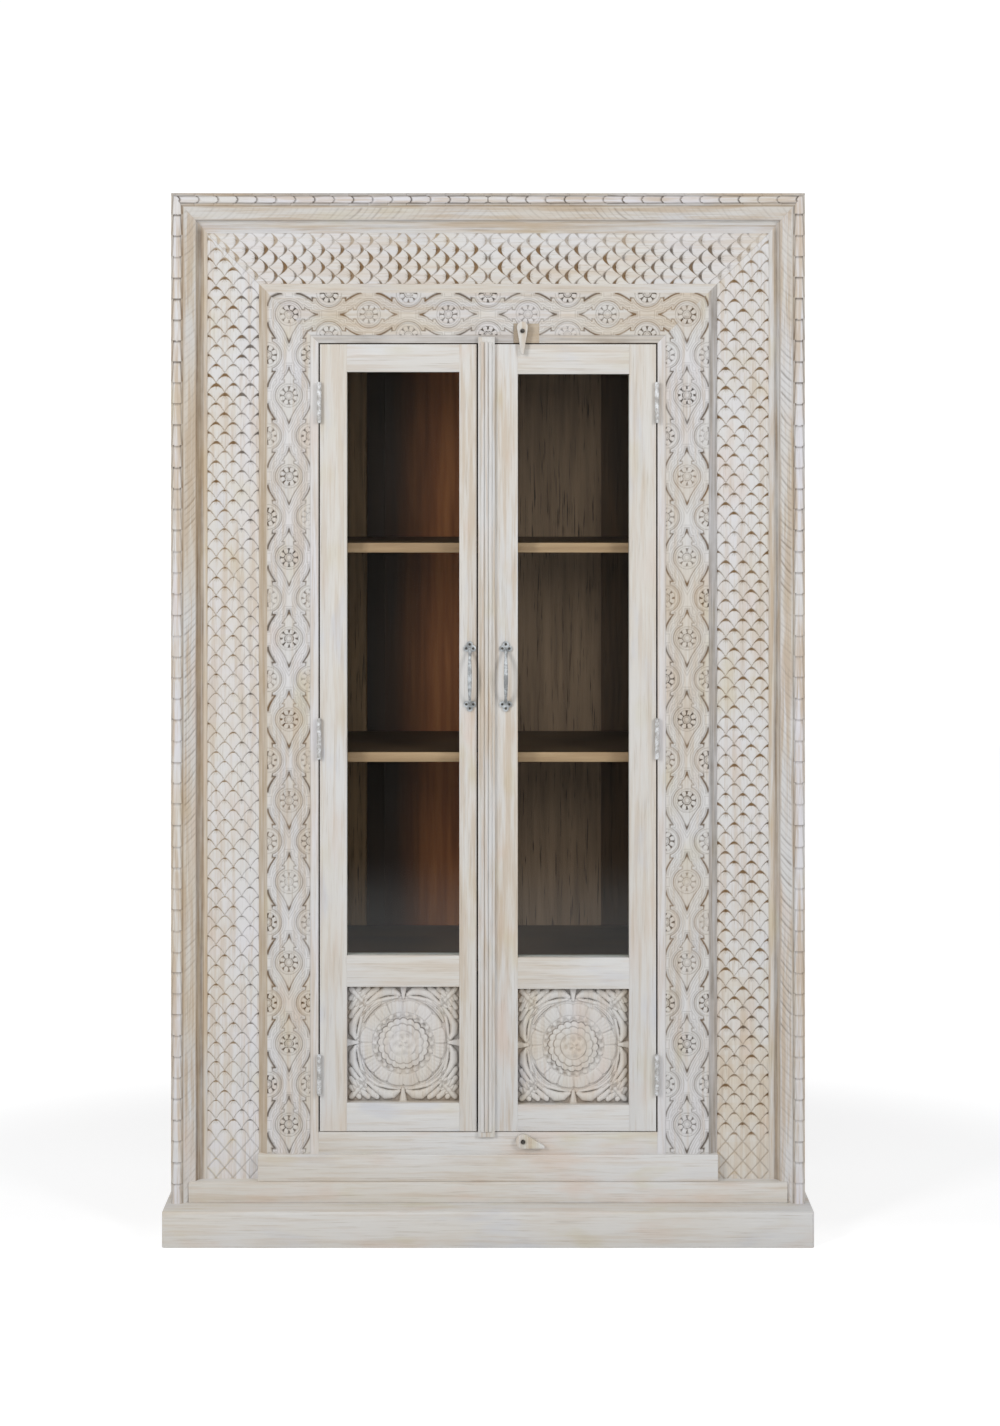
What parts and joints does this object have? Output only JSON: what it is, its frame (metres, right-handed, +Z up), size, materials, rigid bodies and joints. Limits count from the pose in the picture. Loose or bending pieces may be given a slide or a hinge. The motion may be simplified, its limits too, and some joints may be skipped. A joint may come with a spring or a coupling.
{
  "type": "wardrobe cabinet",
  "caption": "Carved whitewashed display cabinet with hinged glazed doors over carved panels, fixed shelves, turn clasps and a projecting plinth.",
  "frame": {"origin": "on the floor, under the middle of the footprint", "axes": "+X to the cabinet's right as seen from the front, +Y from front to back, +Z up"},
  "size_m": [1.234, 0.45, 2],
  "materials": {
    "whitewashed_wood": "worn whitewash over carved hardwood",
    "shelf_wood": "bare sawn wood",
    "dark_wood": "dark stained",
    "grey_back_wood": "dark stained, coarse grain",
    "pale_back_wood": "bare sawn wood",
    "hinge_steel": "dull, washed over",
    "antique_iron": "aged silver grey",
    "window_glass": "clear"
  },
  "bodies": {
    "root": {"plinth_front": "whitewashed_wood", "plinth_back": "whitewashed_wood", "plinth_returns": "whitewashed_wood", "side_stiles_left": "whitewashed_wood", "side_rails_left": "whitewashed_wood", "side_panels_left": "whitewashed_wood", "side_stiles_right": "whitewashed_wood", "side_rails_right": "whitewashed_wood", "side_panels_right": "whitewashed_wood", "top_board": "whitewashed_wood", "floor_board": "dark_wood", "shelf_top": "shelf_wood", "shelf_middle": "shelf_wood", "shelf_bottom": "shelf_wood", "shelf_cleats": "dark_wood", "back_boards_left": "pale_back_wood", "back_narrow_board": "grey_back_wood", "back_panel_left": "dark_wood", "back_panel_right": "grey_back_wood", "back_boards_right": "grey_back_wood", "back_battens": "grey_back_wood", "outer_moulding_left": "whitewashed_wood", "outer_moulding_right": "whitewashed_wood", "outer_moulding_top": "whitewashed_wood", "scale_board_left": "whitewashed_wood", "scale_board_right": "whitewashed_wood", "scale_board_top": "whitewashed_wood", "inner_frame_left": "whitewashed_wood", "inner_frame_right": "whitewashed_wood", "inner_frame_top": "whitewashed_wood", "base_rail": "whitewashed_wood", "lower_rail": "whitewashed_wood", "sill_rail": "whitewashed_wood", "frame_hinge_leaves_left": "hinge_steel", "frame_hinge_leaves_right": "hinge_steel", "hinge_pins": "hinge_steel", "clasp_screws": "antique_iron"},
    "left_door": {"left_hinge_stile": "whitewashed_wood", "left_meeting_stile": "whitewashed_wood", "left_door_rails": "whitewashed_wood", "left_glass": "window_glass", "left_glass_beads": "whitewashed_wood", "left_carved_panel": "whitewashed_wood", "left_handle": "antique_iron", "left_handle_screws": "antique_iron", "left_hinge_leaves": "hinge_steel"},
    "right_door": {"right_hinge_stile": "whitewashed_wood", "right_meeting_stile": "whitewashed_wood", "right_door_rails": "whitewashed_wood", "right_glass": "window_glass", "right_glass_beads": "whitewashed_wood", "right_carved_panel": "whitewashed_wood", "right_handle": "antique_iron", "right_handle_screws": "antique_iron", "right_hinge_leaves": "hinge_steel", "astragal": "whitewashed_wood"},
    "top_clasp": {"top_clasp": "whitewashed_wood"},
    "bottom_clasp": {"bottom_clasp": "whitewashed_wood"}
  },
  "joints": [
    {"name": "left_door_hinge", "type": "hinge", "parent": "root", "child": "left_door", "pos_m": [-0.3238, -0.16705, 0.957], "axis": [0, 0, -1], "range_deg": [0, 165]},
    {"name": "right_door_hinge", "type": "hinge", "parent": "root", "child": "right_door", "pos_m": [0.3238, -0.16705, 0.957], "axis": [0, 0, 1], "range_deg": [0, 165]},
    {"name": "top_clasp_turn", "type": "hinge", "parent": "root", "child": "top_clasp", "pos_m": [0.066, -0.163, 1.737], "axis": [0, -1, 0], "continuous": true},
    {"name": "bottom_clasp_turn", "type": "hinge", "parent": "root", "child": "bottom_clasp", "pos_m": [0.067, -0.163, 0.1845], "axis": [0, -1, 0], "range_deg": [-18, 226]}
  ]
}
